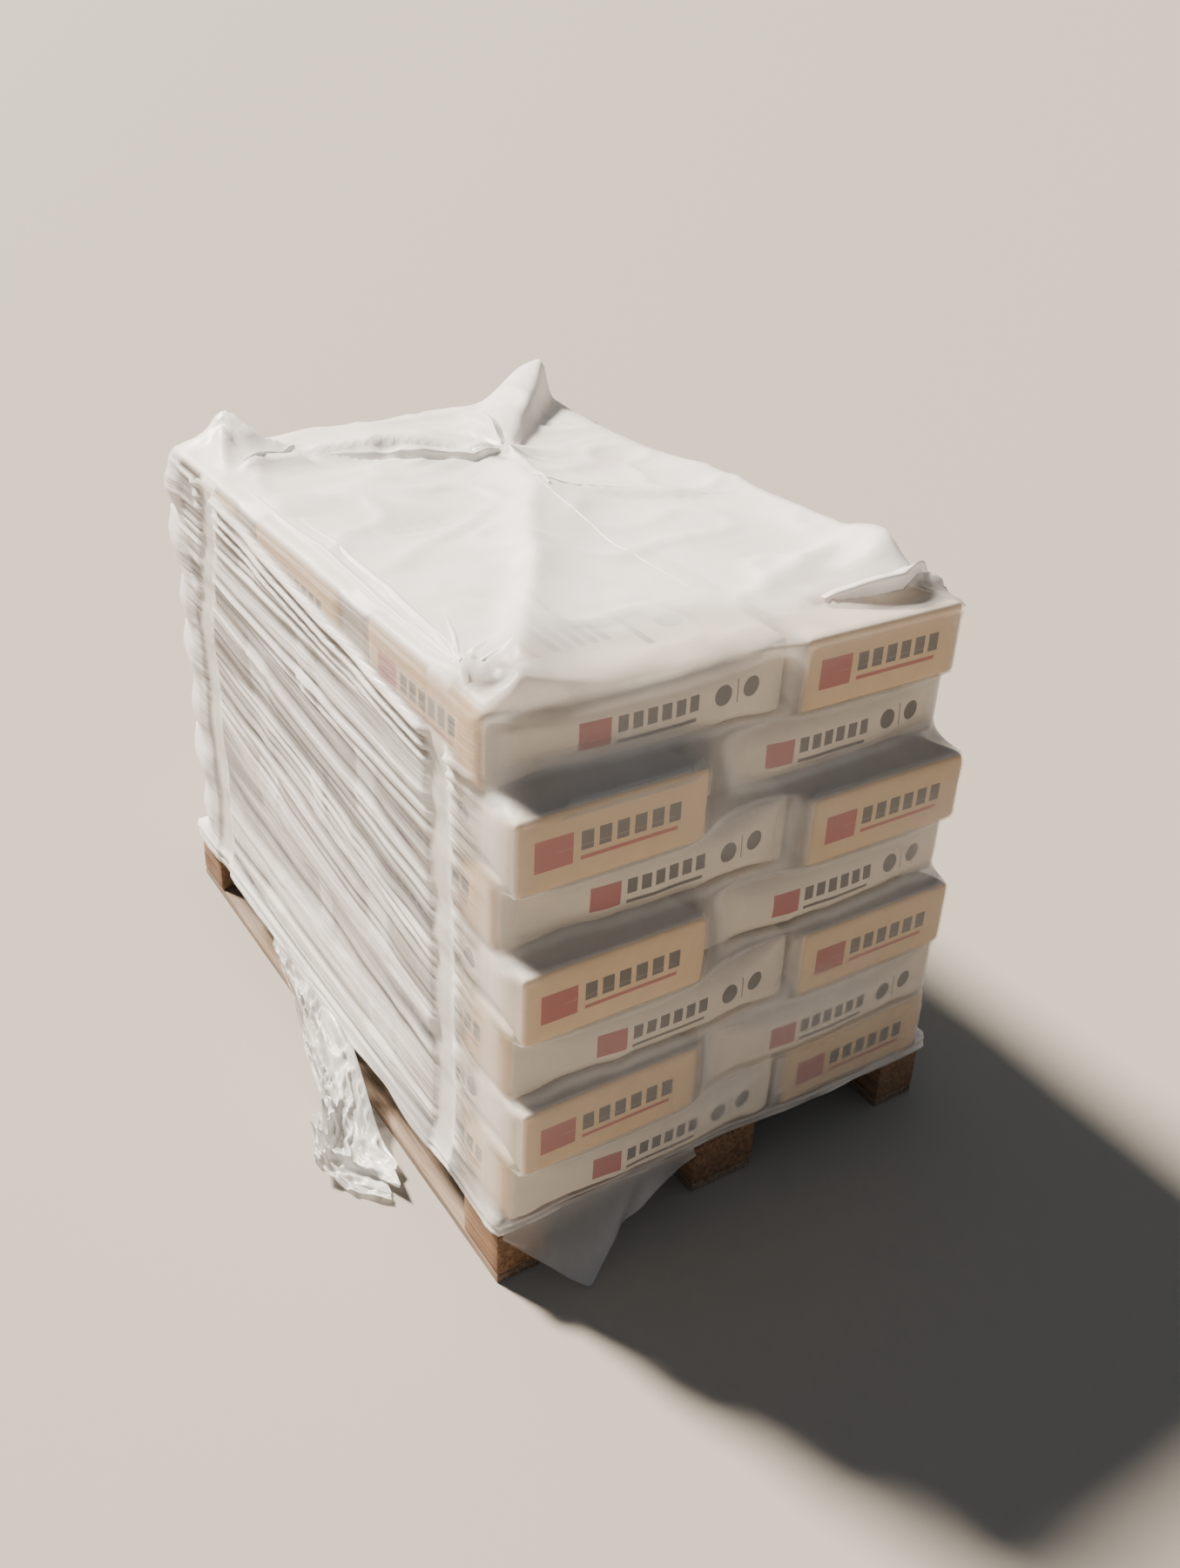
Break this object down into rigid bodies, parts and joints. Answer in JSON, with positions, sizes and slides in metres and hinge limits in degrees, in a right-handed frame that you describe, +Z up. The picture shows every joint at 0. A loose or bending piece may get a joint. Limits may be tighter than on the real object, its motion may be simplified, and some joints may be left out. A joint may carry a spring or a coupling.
{
  "type": "pallet of sacks",
  "caption": "Loaded wooden block pallet: filled paper sacks in interlocked layers under a clear stretch hood with loose film at one side.",
  "frame": {"origin": "middle of the pallet's footprint, on the floor under the centre bottom board", "axes": "+Z up, +Y along the pallet's 1200 mm length, -X is the side that the loose film hangs from"},
  "size_m": [0.9174, 1.2573, 0.967],
  "materials": {
    "pallet_boards": "weathered sawn softwood boards",
    "pallet_blocks": "weathered softwood blocks with end grain",
    "sack_paper": "kraft paper, creased",
    "sack_print": "printed ink on kraft paper",
    "hood_film": "clear to milky stretched polyethylene film",
    "loose_film": "crumpled milky polyethylene film"
  },
  "bodies": {
    "root": {"bottom_board_left": "pallet_boards", "bottom_board_centre": "pallet_boards", "bottom_board_right": "pallet_boards", "block_front_left": "pallet_blocks", "block_front_centre": "pallet_blocks", "block_front_right": "pallet_blocks", "block_middle_left": "pallet_blocks", "block_middle_centre": "pallet_blocks", "block_middle_right": "pallet_blocks", "block_back_left": "pallet_blocks", "block_back_centre": "pallet_blocks", "block_back_right": "pallet_blocks", "stringer_board_front": "pallet_boards", "stringer_board_middle": "pallet_boards", "stringer_board_back": "pallet_boards", "deck_board_1": "pallet_boards", "deck_board_2": "pallet_boards", "deck_board_3": "pallet_boards", "deck_board_4": "pallet_boards", "deck_board_5": "pallet_boards", "sack_layer1_cross_1": "sack_paper", "sack_layer1_cross_2": "sack_paper", "sack_layer1_cross_3": "sack_paper", "sack_layer1_along_1": "sack_paper", "sack_layer1_along_2": "sack_paper", "sack_layer2_cross_1": "sack_paper", "sack_layer2_cross_2": "sack_paper", "sack_layer2_cross_3": "sack_paper", "sack_layer2_along_1": "sack_paper", "sack_layer2_along_2": "sack_paper", "sack_layer3_cross_1": "sack_paper", "sack_layer3_cross_2": "sack_paper", "sack_layer3_cross_3": "sack_paper", "sack_layer3_along_1": "sack_paper", "sack_layer3_along_2": "sack_paper", "sack_layer4_cross_1": "sack_paper", "sack_layer4_cross_2": "sack_paper", "sack_layer4_cross_3": "sack_paper", "sack_layer4_along_1": "sack_paper", "sack_layer4_along_2": "sack_paper", "sack_layer5_cross_1": "sack_paper", "sack_layer5_cross_2": "sack_paper", "sack_layer5_cross_3": "sack_paper", "sack_layer5_along_1": "sack_paper", "sack_layer5_along_2": "sack_paper", "sack_layer6_cross_1": "sack_paper", "sack_layer6_cross_2": "sack_paper", "sack_layer6_cross_3": "sack_paper", "sack_layer6_along_1": "sack_paper", "sack_layer6_along_2": "sack_paper", "sack_layer7_cross_1": "sack_paper", "sack_layer7_cross_2": "sack_paper", "sack_layer7_cross_3": "sack_paper", "sack_layer7_along_1": "sack_paper", "sack_layer7_along_2": "sack_paper", "stretch_hood": "hood_film", "loose_film_tail": "loose_film"}
  },
  "joints": []
}
